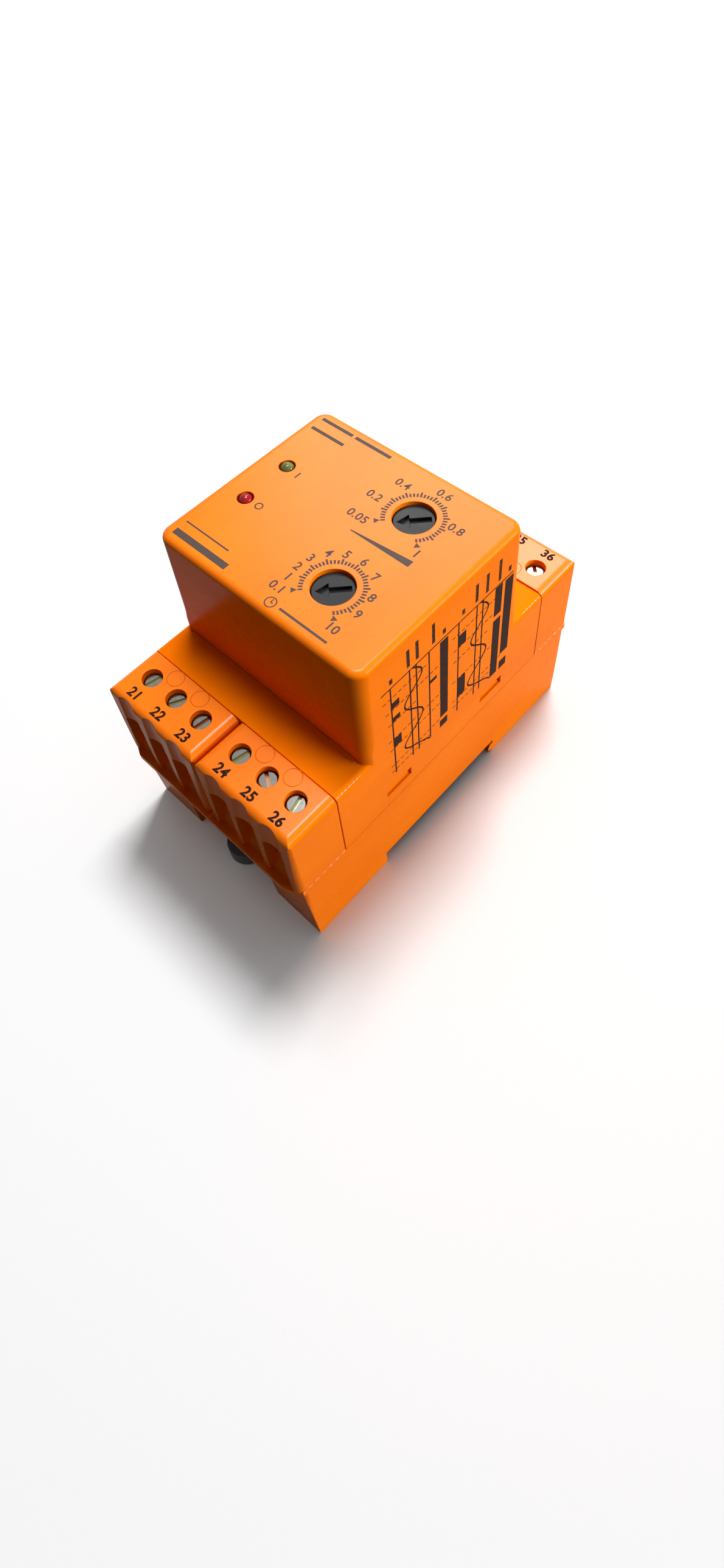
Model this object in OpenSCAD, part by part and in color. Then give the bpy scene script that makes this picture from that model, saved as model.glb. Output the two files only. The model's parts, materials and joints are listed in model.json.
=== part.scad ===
// Three-module protection relay for a 35 mm rail, lying on its feet with its face up.
// +X runs across the case, +Y along it towards the upper terminals, +Z out of the face.
// The origin is under the middle of the case, in the plane of the feet.

/* [Case] */
// Width of the case over its sides
case_w = 52.5; // [51.5:0.5:58]
// Height of the case over its two end lips
case_h = 90; // [89:0.5:96]
// Depth of the case from its feet to its face
case_d = 75; // [73:0.5:85]
// Height of the shoulders above the feet
ledge_z = 46.5; // [45.5:0.5:49]
// Length of each shoulder between the nose and the terminal covers
ledge_len = 8; // [7:0.25:8.5]
// Height of the parting line above the feet
rim_z = 25; // [23:0.5:26]
// Wall thickness of the mouldings
wall = 1.8; // [1.5:0.1:2]
// Setback of the nose at its face, on each of its four sides
draft = 0.4; // [0.2:0.1:0.6]
// Radius of the edges round the face
edge_r = 1.4; // [1:0.1:1.7]
// Radius of the nose's upright edges
nose_r = 3; // [1.8:0.1:3.2]

/* [Base] */
// Reach of the end lips past the base's end walls
lip_len = 1.8; // [1.2:0.1:2]
// Thickness of the end lips and decks
lip_t = 1.6; // [1.2:0.1:2]
// Slope of the base's end walls, as their setback at the feet
end_slope = 1.3; // [0.5:0.1:1.6]
// Width of the rail that the base sits on
rail_w = 35; // [35:0.1:35.4]
// Depth of the rail seat above the feet
seat_z = 4.5; // [4.3:0.1:5.5]
// Room beside the rail for hooking it in
rail_room = 2.8; // [2.2:0.1:3]
// Width of the hollow in each end of the base
arch_w = 26; // [24:0.5:28]
// Depth of that hollow along the case
arch_len = 5.6; // [5:0.1:6]

/* [Rail clips] */
// Width of a clip between its guides
clip_w = 16; // [14:0.5:16.5]
// Reach of a clip's nose under the rail
clip_grip = 1.1; // [0.8:0.1:1.4]
// Radius of the screw hole in a clip
clip_hole_r = 2; // [1.75:0.05:2.25]

/* [Terminals] */
// Length of a terminal cover along the case
cover_len = 12.75; // [12.5:0.05:13.5]
// Radius of a cover's ridges between its scallops
ridge_r = 1.8125; // [1.5:0.0625:2.125]
// Distance from the front of a cover back to its screws
pole_setback = 7.8; // [7.6:0.1:8.2]
// Depth of the scallops in a cover's front edge
scallop = 1.1; // [0.8:0.1:1.3]
// Height of the fluted skirt over the wire mouths
skirt_h = 8.8; // [8:0.2:9]
// Wall between neighbouring wire mouths
mouth_wall = 1.7; // [1.5:0.1:2.1]
// Diameter of a terminal screw's thread
screw_d = 3; // [2.5:0.1:3.2]
// Diameter of a terminal screw's head
head_d = 3.9; // [3.7:0.1:4.2]
// Height of a terminal screw's head
head_h = 1.8; // [1.5:0.1:2]
// Depth of the screw heads below the covers' top
head_sink = 1.2; // [1:0.1:1.4]
// Length of a terminal screw below its head
screw_len = 6.8; // [6.4:0.1:7.4]
// Height of the gap that a cage opens for a wire
wire_gap = 3.6; // [3:0.1:3.8]
// Thickness of a contact bar
bar_t = 1; // [0.8:0.1:1.2]
// Gap beside a contact bar in its cage
bar_side = 0.4; // [0.3:0.1:0.7]

/* [Face] */
// Distance of the dials from the case's right side
dial_side = 17.25; // [16.25:0.25:18.25]
// Distance of the dials from the nose's ends
dial_end = 11.9; // [11.3:0.2:12.5]
// Diameter of a dial's hole in the face
dial_hole = 8.4; // [8:0.1:9]
// Depth of the dials below the face
dial_sink = 0.8; // [0.6:0.1:1]
// Distance of the lamps from the case's left side
lamp_side = 6.95; // [6.75:0.05:8.25]
// Distance of the lamps from the middle, along the case
lamp_y = 5.6; // [4:0.2:8]
// Diameter of a lamp
lamp_d = 3; // [2.8:0.1:3.4]

/* [Boards] */
// Thickness of the circuit boards
board_t = 1.6; // [1.2:0.1:2]
// Height of a dial's body on the front board
pot_h = 4.4; // [4:0.1:4.6]

/* [Hidden] */
$fn = 64;
cut = 1;
// Clearances: seams, loose fits, running fits and the lamps' holes
seam = 0.25;
loose = 0.2;
run = 0.05;
lamp_play = 0.2;

// Case
half_w = case_w / 2;
lip_y = case_h / 2;
end_y = lip_y - lip_len;
cover_y = lip_y - 0.9;
cover_in = cover_y - cover_len;
ledge_y = cover_in - seam;
nose_b = ledge_y - ledge_len;
nose_h = 2 * (nose_b - draft);
side_slope = draft / (case_d - rim_z);
// Share of that slope on the shoulders and covers, so that no two sides lie in one plane
ledge_lean = 0.8;
ledge_r = 1.3;
corner_r = 1.2;
groove = [0.4, 0.2];
fillet_r = 0.8;
floor_z = seat_z + wall;
deck_y = ledge_y - wall - seam;
deck_z = rim_z - lip_t;
lip_cut = [3.6, 1.8];
face_in = case_d - wall;

// Rail seat, with the rail centred on the case
rail_t = 1;
rail_near = -(rail_w / 2 + rail_room);
rail_far = rail_w / 2 + 0.1;
hook_r = 1.4;
foot_y = rail_far + wall + rail_room;

// Rail clips
arch_y = end_y - arch_len;
arch_z = deck_z - wall;
arch_r = 4;
flange = 2;
flange_z = 2.2;
clip_z = 0.4;
clip_hole_y = arch_y + 1.4;
clip_end_r = 4.2;

// Snap hooks of the base in the front's side windows
snap_y = 14.8;
snap_w = 7.2;
snap_z = rim_z + 3.7;
snap_h = 2.6;
snap_t = 1.2;

// Terminals: three poles under each cover
POLES = [0, 1, 2];
cover_top = ledge_z + 0.3;
cover_slope = 0.5;
cover_r = 1.8;
cover_front_r = 1.6;
cover_mid = (half_w + seam / 2) / 2;
pole_pitch = (half_w - seam / 2 - 2 * ridge_r) / 3;
pole_y = cover_y - pole_setback;
bay_w = pole_pitch - 1.1;
mouth_w = pole_pitch - mouth_wall;
skirt_t = 2.6;
tuck = [18, 0.9, 1.2];
head_top = cover_top - head_sink;
head_edge = 0.25;
screw_point = 0.4;
slot_w = 0.8;
slot_depth = 0.9;
// Turn of each screw's slot, in the order of the corners
SLOTS = [[78, -31, 104], [78, 62, 81], [24, 110, 63], [135, 48, 95]];
bar_top = head_top - head_h - screw_len;
bar_end = 2.8;
tail_y = deck_y - 1.6;
tail_w = 2;
cage_w = bay_w - 2 * loose;
cage_len = 6.2;
cage_wall = 0.8;
cage_roof = 1.8;
cage_open = 0.4;
bar_w = cage_w - 2 * cage_wall - 2 * bar_side;
cage_floor = bar_top - bar_t - wire_gap;
cage_z = cage_floor - cage_wall;
cage_top = bar_top + cage_open + cage_roof;

// Boards
board_gap = 0.4;
main_z = rim_z + 1.4;
main_top = main_z + board_t;
main_x = half_w - wall - loose - snap_t - board_gap;
main_y = deck_y - seam;
post_r = 2.4;
pin_r = 1.1;
main_post = [main_x - post_r - 0.8, main_y - post_r - 2.6];
front_top = face_in - pot_h - 0.8;
front_x = half_w - draft - wall - 0.8;
front_y = nose_h / 2 - wall - 0.8;
front_post = [front_x - post_r - 0.2, front_y - post_r - 0.2];

// Parts on the boards, which share the room between the terminals
part_gap = 1.4;
part_edge = 2.75;
part_room = 2 * (main_x - part_edge) - 2.2;
cap_r = 4;
cap_h = 11.5;
cap_y = tail_y - bar_t - cap_r - 2.45;
pin_count = 8;
pin_pitch = 2.54;
pin_w = 0.64;
strip_t = 2.5;
header_y = front_y - 2;
relay_size = [round(part_room * 10 / 3) / 10, 2 * (cap_y - cap_r - part_gap), 15.6];
relay_x = main_x - part_edge - relay_size.x / 2;
coil_size = [part_room - relay_size.x, 2 * (header_y - strip_t / 2 - part_gap), 22];
coil_x = part_edge + coil_size.x / 2 - main_x;
chip_size = [6.4, 19, 3.4];
leg_count = 8;
leg_pitch = 2.3;

// Dials and lamps
dial_x = half_w - dial_side;
dial_y = nose_h / 2 - dial_end;
lamp_x = half_w - lamp_side;
pot_w = 9.6;
knob_r = dial_hole / 2 - 0.3;
knob_t = 1.5;
knob_z = case_d - dial_sink - knob_t;
stem_r = 1.5;
stem_h = 3.6;
arrow_depth = 0.8;
rest_angle = 225;
lamp_tip = 0.6;
lamp_flange = [0.4, 1];

CORNERS = ["lower_right_", "lower_left_", "upper_left_", "upper_right_"];

// Profile with sloping sides and two round upper corners: half widths at the foot and the top
module round_top(foot, top, h, r) {
    slope = atan((foot - top) / h);
    reach = r * tan(45 - slope / 2);
    side = [top + reach * sin(slope), h - reach * cos(slope)];
    polygon([[-foot, 0], [foot, 0], side, [top - reach, h],
             [reach - top, h], [-side.x, side.y]]);
    for (x = [reach - top, top - reach])
        translate([x, h - r]) circle(r);
}

// Rectangle about the origin with round corners
module round_rect(w, h, r) {
    square([w - 2 * r, h], center = true);
    square([w, h - 2 * r], center = true);
    for (x = [r - w / 2, w / 2 - r], y = [r - h / 2, h / 2 - r])
        translate([x, y]) circle(r);
}

// Profile in X and Z drawn out along Y, and profile in Y and Z drawn out along X
module along_y(len) {
    rotate([90, 0, 0]) linear_extrude(len, center = true) children();
}
module along_x(len) {
    rotate([90, 0, 90]) linear_extrude(len, center = true) children();
}

// Copies at both ends and on both sides of the case
module both_ends() {
    children();
    rotate([0, 0, 180]) children();
}
module both_sides() {
    children();
    mirror([1, 0, 0]) children();
}
module four_ways(at) {
    for (x = [-at.x, at.x], y = [-at.y, at.y]) translate([x, y, 0]) children();
}

// Nose as a solid from the parting line up, drawn in by the given inset on every side
module nose_block(inset) {
    h = case_d - inset - rim_z;
    r = edge_r - min(inset, edge_r - 0.4);
    plan_r = nose_r - min(inset, nose_r - 0.4);
    translate([0, 0, rim_z]) intersection() {
        along_x(case_w) round_top(nose_b - inset, nose_h / 2 - inset, h, r);
        along_y(case_h) round_top(half_w - inset, half_w - draft - inset, h, r);
        linear_extrude(case_d) round_rect(case_w - 2 * inset, 2 * nose_b - 2 * inset, plan_r);
    }
}

// Shoulder block from the parting line up to the shoulders, drawn in by the inset
module ledge_block(inset) {
    h = ledge_z - inset - rim_z;
    w = half_w - inset;
    r = ledge_r - min(inset, ledge_r - 0.4);
    translate([0, 0, rim_z])
        along_y(2 * (ledge_y - inset)) round_top(w, w - ledge_lean * side_slope * h, h, r);
}

// Concave fillet where the nose rises from a shoulder
module nose_fillet() {
    along_x(case_w - 2 * nose_r) difference() {
        translate([-nose_b - fillet_r, ledge_z - cut]) square([fillet_r + cut, cut + fillet_r]);
        translate([-nose_b - fillet_r, ledge_z + fillet_r]) circle(fillet_r);
    }
}

module front_shell() {
    color("darkorange") {
        difference() {
            union() {
                nose_block(0);
                ledge_block(0);
                both_ends() nose_fillet();
            }
            difference() {
                union() {
                    nose_block(wall);
                    ledge_block(wall);
                    translate([0, 0, rim_z])
                        cube([case_w - 2 * wall, 2 * (ledge_y - wall), 2 * cut], center = true);
                }
                four_ways(front_post) translate([0, 0, front_top])
                    cylinder(h = case_d - front_top, r = post_r);
            }
            for (y = [-dial_y, dial_y])
                translate([dial_x, y, face_in - cut]) cylinder(h = wall + 2 * cut, d = dial_hole);
            for (y = [-lamp_y, lamp_y])
                translate([-lamp_x, y, face_in - cut])
                    cylinder(h = wall + 2 * cut, d = lamp_d + 2 * lamp_play);
            for (y = [-snap_y, snap_y])
                translate([-half_w - cut, y - snap_w / 2, snap_z])
                    cube([case_w + 2 * cut, snap_w, snap_h]);
            both_ends() bar_slots();
            both_ends() seam_groove(half_w);
            both_ends() for (x = [-cover_mid, cover_mid])
                translate([x - tuck.x / 2 - loose, -ledge_y - cut, cover_tuck_z() - loose])
                    cube([tuck.x + 2 * loose, cut + tuck.y + loose - seam, tuck.z + 2 * loose]);
        }
        four_ways(front_post) translate([0, 0, front_top - board_t - 0.4])
            cylinder(h = board_t + 0.4 + cut, r = pin_r);
    }
}

// Groove along the lower edge of a right side at the given distance, so that the seam shows
module seam_groove(x) {
    translate([x - groove.x, -lip_y, rim_z - cut]) cube([groove.x + cut, 2 * lip_y, groove.y + cut]);
}

// Slots in a shoulder's end wall, open below, that pass over the contact bars
module bar_slots() {
    for (x = pole_places())
        translate([x - bar_w / 2 - loose, -ledge_y - cut, rim_z - cut])
            cube([bar_w + 2 * loose, wall + 2 * cut, bar_top + loose - rim_z + cut]);
}

// Height of the tongue by which a cover tucks into the front
function cover_tuck_z() = cover_top - 0.7 * wall - tuck.z;

// Places of the six poles across one end
function pole_places() =
    [for (side = [-1, 1]) for (p = POLES) side * (cover_mid + (p - 1) * pole_pitch)];

// Base: end walls, feet and hollow ends around the rail seat
module base() {
    color("chocolate") {
        difference() {
            union() {
                base_block();
                deck_plate();
            }
            base_hollow();
            rail_seat();
            both_ends() arch(0);
            both_ends() clip_track();
        }
        rail_hooks();
        both_ends() for (side = [-1, 1]) snap_hook(side);
        four_ways(main_post) board_post();
    }
}

module base_block() {
    intersection() {
        along_x(case_w) polygon([[end_slope - end_y, 0], [end_y - end_slope, 0],
                                 [end_y, rim_z], [-end_y, rim_z]]);
        linear_extrude(rim_z) round_rect(case_w, 2 * end_y, corner_r);
    }
}

// Plate at the parting line that makes the lips and the decks under the terminals
module deck_plate() {
    translate([0, 0, deck_z]) linear_extrude(lip_t)
        polygon([for (turn = [[1, 1], [-1, 1], [-1, -1], [1, -1]])
                 let (ends = [[half_w, lip_y - lip_cut.y], [half_w - lip_cut.x, lip_y]])
                 for (i = turn.x * turn.y > 0 ? [0, 1] : [1, 0])
                 [turn.x * ends[i].x, turn.y * ends[i].y]]);
}

// Room inside the base, with the walls of the hollow ends left standing
module base_hollow() {
    inner_x = half_w - wall;
    inner_y = end_y - end_slope - wall;
    difference() {
        union() {
            translate([-inner_x, -inner_y, floor_z]) cube([2 * inner_x, 2 * inner_y, deck_z - floor_z]);
            translate([-inner_x, -deck_y, floor_z]) cube([2 * inner_x, 2 * deck_y, rim_z]);
            both_ends() for (x = [arch_w / 2 + wall, -inner_x])
                translate([x, foot_y, wall])
                    cube([inner_x - arch_w / 2 - wall, inner_y - foot_y, floor_z]);
        }
        both_ends() arch(wall);
    }
}

// Hollow in the lower end of the base, with round upper corners, grown by the given amount
module arch(grow) {
    w = arch_w / 2 + grow;
    translate([0, -(arch_y - grow + lip_y) / 2, -grow])
        along_y(lip_y - arch_y + grow)
            round_top(w, w, arch_z + 2 * grow, arch_r + grow);
}

module rail_seat() {
    translate([-half_w - cut, rail_near, -cut])
        cube([case_w + 2 * cut, rail_far - rail_near, seat_z + cut]);
}

// Fixed round hooks that go under the rail's upper edge, beside the clip
module rail_hooks() {
    len = half_w - arch_w / 2;
    for (x = [arch_w / 2, -half_w])
        translate([x, rail_far, hook_r + clip_z]) rotate([0, 90, 0]) cylinder(h = len, r = hook_r);
}

// T-shaped track for the lower clip, open to the rail seat and the hollow end
module clip_track() {
    from = -arch_y - cut;
    len = arch_y + cut - rail_w / 2 + flange;
    translate([-clip_w / 2 - loose, from, -cut])
        cube([clip_w + 2 * loose, len, flange_z + 2 * cut]);
    translate([-clip_w / 2 - flange - loose, from, flange_z - loose])
        cube([clip_w + 2 * flange + 2 * loose, len, seat_z - flange_z + loose]);
}

// Spring hook on the base's side that snaps into a window of the front
module snap_hook(side) {
    x = half_w - wall - loose;
    w = snap_w - 2 * loose;
    root = 8;
    top = snap_z + snap_h - loose;
    mirror([side < 0 ? 1 : 0, 0, 0]) translate([0, -snap_y, 0])
        along_y(w)
            polygon([[x - snap_t, rim_z - root], [x + loose + cut, rim_z - root + snap_t],
                     [x + loose + cut, rim_z - lip_t], [x, rim_z - lip_t],
                     [x, snap_z + loose], [half_w - 0.5, snap_z + loose],
                     [x + 0.3, top], [x - snap_t, top]]);
}

// Post of the base with a pin that locates the main board
module board_post() {
    foot = (main_post.y - post_r > foot_y ? wall : floor_z) - cut;
    translate([0, 0, foot]) cylinder(h = main_z - foot, r = post_r);
    translate([0, 0, main_z - cut]) cylinder(h = board_t + 0.6 + cut, r = pin_r);
}

// Outline of a cover from above: scallops at the poles and round ridges between them
module cover_outline() {
    half = pole_pitch / 2;
    span = (half * half + scallop * scallop) / (2 * scallop);
    ridge_y = cover_y - ridge_r;
    meet_y = ridge_y + ridge_r * (span - scallop) / span;
    w = half_w - cover_mid;
    difference() {
        union() {
            translate([-w, -ridge_y]) square([2 * w, ridge_y - cover_in]);
            translate([-1.5 * pole_pitch, -meet_y]) square([3 * pole_pitch, meet_y - cover_in]);
        }
        for (p = POLES) translate([(p - 1) * pole_pitch, scallop - cover_y - span + ridge_r])
            circle(span - ridge_r);
    }
    for (e = [0:3]) translate([(e - 1.5) * pole_pitch, -ridge_y]) circle(ridge_r);
}

// Side view of a cover: sloping front with a round upper edge
module cover_side() {
    h = cover_top - rim_z;
    translate([-cover_in, 0]) intersection() {
        round_top(cover_y - cover_in, cover_y - cover_in - cover_slope, h, cover_front_r);
        translate([-case_h, 0]) square([case_h, h]);
    }
}

// Terminal cover at the lower right, open to the front below its fluted skirt
module terminal_cover() {
    h = cover_top - rim_z;
    w = half_w - cover_mid;
    color("orange") translate([cover_mid, 0, 0]) {
        difference() {
            translate([0, 0, rim_z]) intersection() {
                linear_extrude(cover_top) cover_outline();
                along_x(case_w) cover_side();
                translate([0, -lip_y / 2, 0]) along_y(lip_y)
                    round_top(w, w - ledge_lean * side_slope * h, h, cover_r);
            }
            for (p = POLES) translate([(p - 1) * pole_pitch, 0, 0]) pole_bay();
            both_sides() seam_groove(w);
        }
        for (p = POLES) translate([(p - 1) * pole_pitch, 0, 0]) wire_ramp();
        translate([-tuck.x / 2, -cover_in - cut, cover_tuck_z()])
            cube([tuck.x, cut + tuck.y, tuck.z]);
    }
}

// Room for one clamp, its wire mouth and its screw hole
module pole_bay() {
    back = cover_y - skirt_t;
    translate([-bay_w / 2, -back, rim_z - cut])
        cube([bay_w, back - cover_in + cut, cover_top - wall - rim_z + cut]);
    translate([-mouth_w / 2, -lip_y - cut, rim_z - cut])
        cube([mouth_w, lip_y, cover_top - skirt_h - rim_z + cut]);
    translate([0, -pole_y, cover_top - wall - cut])
        cylinder(h = wall + 2 * cut, d = head_d + 2 * seam);
}

// Ramp that guides a wire up from the lip into its cage
module wire_ramp() {
    back = pole_y + cage_len / 2 + 2 * loose;
    along_x(bay_w + loose)
        polygon([[0.7 - cover_y, rim_z], [-back, rim_z],
                 [-back, cage_z - loose], [-back - 0.6, cage_z - loose]]);
}

// Terminal screw with its slot turned by the given angle
module terminal_screw(turn) {
    r = screw_d / 2;
    head_r = head_d / 2;
    top = screw_len + head_h;
    color("silver") translate([cover_mid, -pole_y, bar_top]) difference() {
        rotate_extrude()
            polygon([[0, 0], [r - screw_point, 0], [r, screw_point], [r, screw_len],
                     [head_r, screw_len], [head_r, top - head_edge], [head_r - head_edge, top],
                     [0, top]]);
        rotate(turn) translate([0, 0, top])
            cube([head_d + cut, slot_w, 2 * slot_depth], center = true);
    }
}

// Clamp cage, shown open: it rises on its screw and grips the wire under the bar
module clamp_cage() {
    h = cage_top - cage_z;
    r = 0.7;
    color("gainsboro") translate([cover_mid, -pole_y, cage_z]) difference() {
        translate([0, 0, h / 2]) along_y(cage_len) round_rect(cage_w, h, r);
        translate([0, 0, cage_wall]) along_y(cage_len + cut)
            translate([cage_wall - cage_w / 2, 0])
                square([cage_w - 2 * cage_wall, h - cage_wall - cage_roof]);
        cylinder(h = 2 * h, d = screw_d + 2 * run);
    }
}

// Contact bar from the clamp to its tail in the main board
module contact_bar() {
    front = -pole_y - bar_end;
    color("goldenrod") translate([cover_mid, 0, 0]) {
        along_x(bar_w) polygon([[front, bar_top], [bar_t - tail_y, bar_top],
                                [bar_t - tail_y, main_top], [-tail_y, main_top],
                                [-tail_y, bar_top - bar_t], [front, bar_top - bar_t]]);
        translate([-tail_w / 2, -tail_y, main_z - 0.6])
            cube([tail_w, bar_t, main_top - main_z + 0.6 + cut]);
    }
}

// Puts a piece drawn for the lower right middle pole at the named corner and pole
module at_corner(corner, pole) {
    turned = corner > 1 ? 180 : 0;
    side = corner % 2 == 1 ? -2 * cover_mid : 0;
    rotate([0, 0, turned]) translate([side + (pole - 1) * pole_pitch, 0, 0]) children();
}

// Rail clip at the lower end, in its track with its nose under the rail
module rail_clip() {
    nose_y = clip_grip - rail_w / 2;
    plate_h = seat_z - loose - clip_z;
    track_y = rail_near - loose;
    hole_y = -clip_hole_y;
    color("dimgray") difference() {
        union() {
            translate([-clip_w / 2, -arch_y, clip_z]) cube([clip_w, arch_y + track_y, plate_h]);
            translate([-clip_w / 2 - flange, -arch_y, flange_z])
                cube([clip_w + 2 * flange, arch_y + track_y, seat_z - loose - flange_z]);
            along_x(clip_w) polygon([[track_y - cut, clip_z], [nose_y - 0.8, clip_z],
                                     [nose_y, seat_z - rail_t - 1.2],
                                     [nose_y - 0.6, seat_z - rail_t - loose],
                                     [track_y - cut, seat_z - rail_t - loose]]);
            translate([0, hole_y, clip_z]) cylinder(h = plate_h, r = clip_end_r);
            translate([-clip_end_r, hole_y, clip_z])
                cube([2 * clip_end_r, cut + clip_hole_y - arch_y, plate_h]);
        }
        translate([0, hole_y, -cut]) cylinder(h = seat_z + 2 * cut, r = clip_hole_r);
        for (side = [-1, 1])
            translate([side * (clip_w / 2 - 2.6) - 0.6, track_y - 11, -cut])
                cube([1.2, 9, seat_z + 2 * cut]);
    }
}

module main_board() {
    color("darkgreen") translate([0, 0, main_z]) difference() {
        linear_extrude(board_t) square([2 * main_x, 2 * main_y], center = true);
        four_ways(main_post) translate([0, 0, -cut]) cylinder(h = board_t + 2 * cut, r = pin_r + run);
        both_ends() for (x = pole_places())
            translate([x - tail_w / 2 - run, -tail_y - run, -cut])
                cube([tail_w + 2 * run, bar_t + 2 * run, board_t + 2 * cut]);
    }
}

module front_board() {
    color("darkgreen") translate([0, 0, front_top - board_t]) difference() {
        linear_extrude(board_t) square([2 * front_x, 2 * front_y], center = true);
        four_ways(front_post) translate([0, 0, -cut]) cylinder(h = board_t + 2 * cut, r = pin_r + run);
    }
}

// Sealed relay with chamfered upper edges on the main board
module output_relay() {
    w = relay_size.x / 2;
    h = relay_size.z;
    edge = 0.8;
    color("midnightblue") translate([relay_x, 0, main_top]) intersection() {
        along_y(relay_size.y) polygon([[-w, 0], [w, 0], [w, h - edge], [w - edge, h],
                                       [edge - w, h], [-w, h - edge]]);
        linear_extrude(h) round_rect(relay_size.x, relay_size.y, edge);
    }
}

// Potted transformer on the main board: a body with round edges over a flanged foot
module supply_transformer() {
    foot = 2;
    color("black") translate([coil_x, 0, main_top]) {
        linear_extrude(coil_size.z) round_rect(coil_size.x - foot, coil_size.y - foot, foot);
        linear_extrude(foot) round_rect(coil_size.x, coil_size.y, foot);
    }
}

// Capacitor can with a crimped groove near its foot
module smoothing_capacitor() {
    groove = [1.2, 1.6, 2];
    edge = 0.5;
    color("slategray") translate([relay_x, cap_y, main_top]) rotate_extrude()
        polygon([[0, 0], [cap_r, 0], [cap_r, groove.x], [cap_r - 0.4, groove.y], [cap_r, groove.z],
                 [cap_r, cap_h - edge], [cap_r - edge, cap_h], [0, cap_h]]);
}

// Chip under the front board, with its two rows of bent legs
module control_chip() {
    leg = [0.5, 0.8, 2.4];
    foot = [0.8, 0.8, 0.4];
    leg_x = chip_size.x / 2 + 0.4;
    color("black") translate([0, 0, front_top - board_t]) {
        translate([0, 0, -0.5 - chip_size.z / 2]) cube(chip_size, center = true);
        for (side = [-1, 1], i = [0:leg_count - 1])
            translate([side * leg_x, (i - (leg_count - 1) / 2) * leg_pitch, 0]) {
                translate([0, 0, -leg.z / 2]) cube(leg, center = true);
                translate([-side * 0.2, 0, foot.z / 2 - leg.z]) cube(foot, center = true);
            }
    }
}

// Row of pins between the two boards, with a plastic strip at each end
module board_header() {
    strip = [pin_count * pin_pitch, strip_t, strip_t];
    h = front_top - board_t - main_top;
    color("black") translate([coil_x, header_y, main_top]) {
        for (z = [strip_t / 2, h - strip_t / 2]) translate([0, 0, z]) cube(strip, center = true);
        for (i = [0:pin_count - 1])
            translate([(i - (pin_count - 1) / 2) * pin_pitch, 0, h / 2])
                cube([pin_w, pin_w, h], center = true);
    }
}

// Body of a dial's potentiometer on the front board
module pot(y) {
    color("black") translate([dial_x, y, front_top]) difference() {
        linear_extrude(pot_h) round_rect(pot_w, pot_w, 0.8);
        translate([0, 0, pot_h - stem_h]) cylinder(h = stem_h + cut, r = stem_r + run);
    }
}

// Knob with an arrow-shaped slot, at the low end of its scale
module knob(y) {
    tip = knob_r - 0.6;
    slot = 0.65;
    foot = front_top + pot_h - stem_h + 2 * run;
    color("dimgray") translate([dial_x, y, 0]) rotate(rest_angle) difference() {
        union() {
            translate([0, 0, foot]) cylinder(h = knob_z - foot + cut, r = stem_r);
            translate([0, 0, knob_z]) cylinder(h = knob_t, r = knob_r);
        }
        translate([0, 0, knob_z + knob_t - arrow_depth]) linear_extrude(arrow_depth + cut)
            polygon([[-tip, -slot], [tip / 4, -slot], [tip / 4, -tip / 2], [tip, 0],
                     [tip / 4, tip / 2], [tip / 4, slot], [-tip, slot]]);
    }
}

// Lamp with a domed end on two legs
module lamp(y, tint) {
    r = lamp_d / 2;
    dome_z = case_d + lamp_tip - r;
    flange_z = face_in - lamp_flange.y - seam;
    color(tint) translate([-lamp_x, y, 0]) {
        translate([0, 0, flange_z]) cylinder(h = dome_z - flange_z, r = r);
        translate([0, 0, dome_z]) sphere(r);
        translate([0, 0, flange_z]) cylinder(h = lamp_flange.y, r = r + lamp_flange.x);
        for (x = [-1.27, 1.27])
            translate([x - 0.25, -0.25, front_top]) cube([0.5, 0.5, flange_z - front_top + 0.5]);
    }
}

base();
front_shell();
for (c = [0:3]) {
    at_corner(c, 1) terminal_cover();
    for (p = POLES) {
        at_corner(c, p) terminal_screw(SLOTS[c][p]);
        at_corner(c, p) clamp_cage();
        at_corner(c, p) contact_bar();
    }
}
rail_clip();  // rail_clip_lower
rotate([0, 0, 180]) rail_clip();  // rail_clip_upper
main_board();
front_board();
output_relay();
supply_transformer();
smoothing_capacitor();
control_chip();
board_header();
pot(dial_y);  // level_pot
pot(-dial_y);  // delay_pot
knob(dial_y);  // level_knob
knob(-dial_y);  // delay_knob
lamp(lamp_y, "lime");  // green_lamp
lamp(-lamp_y, "red");  // red_lamp
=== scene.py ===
"""Looks of a three-module protection relay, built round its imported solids.

Sizes are written in millimetres and turned into metres by MM.
+X runs across the case, +Y along it towards the upper terminals, +Z out of the face.
"""

import json
import math
import bmesh
import bpy
import numpy as np
from bpy.props import FloatProperty, FloatVectorProperty, IntProperty, PointerProperty
from mathutils import Matrix, Vector


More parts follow.
